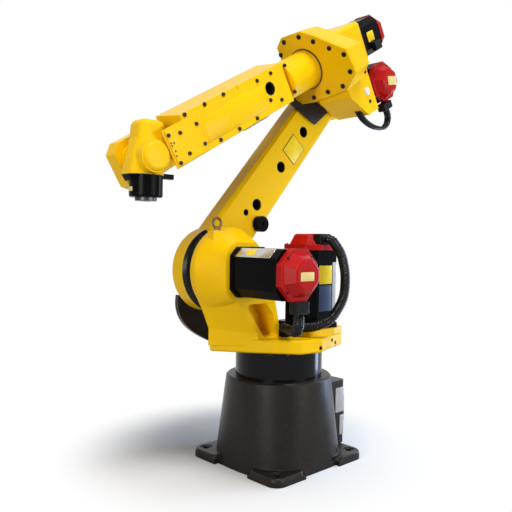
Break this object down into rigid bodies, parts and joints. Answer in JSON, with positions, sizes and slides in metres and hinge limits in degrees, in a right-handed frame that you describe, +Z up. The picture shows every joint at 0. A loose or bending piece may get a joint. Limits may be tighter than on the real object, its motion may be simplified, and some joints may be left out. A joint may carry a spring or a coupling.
{
  "type": "industrial robot arm",
  "caption": "Six-axis jointed robot arm with servo motors, standing on a tapered round column with a square bolted foot.",
  "frame": {"origin": "on the floor under the first axis, at the centre of the four foot bolts", "axes": "+Z up along the first axis, +X to the robot's front, +Y to its left, the second motor's side"},
  "size_m": [0.908, 0.423, 1.33],
  "materials": {
    "grey_casting": "dark grey enamel on cast iron, slight sheen",
    "black_paint": "black enamel, satin",
    "yellow_paint": "yellow enamel on castings, satin",
    "red_cap": "moulded red plastic",
    "rubber": "black rubber",
    "connector": "black moulded connector housing",
    "grey_sheet": "dark grey painted sheet",
    "dark_steel": "blackened machined steel"
  },
  "bodies": {
    "base": {"base_casting": "grey_casting", "axis1_ring": "black_paint", "connector_box": "grey_casting", "rear_panel": "grey_casting", "power_inlet": "connector", "signal_inlet": "connector"},
    "turret": {"turret_casting": "yellow_paint", "axis2_reducer": "black_paint", "axis2_motor": "black_paint", "axis2_motor_cap": "red_cap", "axis1_motor": "black_paint", "axis1_motor_cap": "red_cap", "lifting_eye": "dark_steel", "axis1_connector": "connector", "axis2_connector": "connector", "cable_clamp": "black_paint", "axis1_leads": "rubber", "axis2_leads": "rubber", "cable_cover": "grey_sheet"},
    "upper_arm": {"upper_arm_casting": "yellow_paint", "stop_bumper": "rubber"},
    "elbow": {"elbow_casting": "yellow_paint", "elbow_front_plate": "yellow_paint", "axis3_reducer": "black_paint", "axis3_motor": "black_paint", "axis3_motor_cap": "red_cap", "axis4_motor": "black_paint", "axis4_motor_cap": "red_cap", "axis3_connector": "connector", "axis4_connector": "connector", "axis3_leads": "rubber", "elbow_shield": "grey_sheet"},
    "forearm": {"forearm_tube": "yellow_paint", "forearm_casting": "yellow_paint", "belt_case": "yellow_paint", "wrist_side_cover": "yellow_paint", "forearm_hose": "rubber"},
    "wrist": {"wrist_casting": "yellow_paint", "wrist_gear_case": "black_paint", "wrist_clip": "black_paint"},
    "tool": {"tool_flange": "dark_steel"}
  },
  "joints": [
    {"name": "axis1", "type": "hinge", "parent": "base", "child": "turret", "pos_m": [0, 0, 0.3077], "axis": [0, 0, 1], "range_deg": [-170, 170]},
    {"name": "axis2", "type": "hinge", "parent": "turret", "child": "upper_arm", "pos_m": [0.15, 0, 0.525], "axis": [0, 1, 0], "range_deg": [-50.5, 109.5]},
    {"name": "axis3", "type": "hinge", "parent": "upper_arm", "child": "elbow", "pos_m": [-0.3207, 0, 1.096], "axis": [0, -1, 0], "range_deg": [-10, 190]},
    {"name": "axis4", "type": "hinge", "parent": "elbow", "child": "forearm", "pos_m": [-0.25744, 0, 1.20382], "axis": [0.8625, 0, -0.506], "range_deg": [-190, 190]},
    {"name": "axis5", "type": "hinge", "parent": "forearm", "child": "wrist", "pos_m": [0.44119, 0, 0.79393], "axis": [0, 1, 0], "range_deg": [-179.6, 60.4]},
    {"name": "axis6", "type": "hinge", "parent": "wrist", "child": "tool", "pos_m": [0.44119, 0, 0.69393], "axis": [0, 0, -1], "range_deg": [-360, 360]}
  ]
}
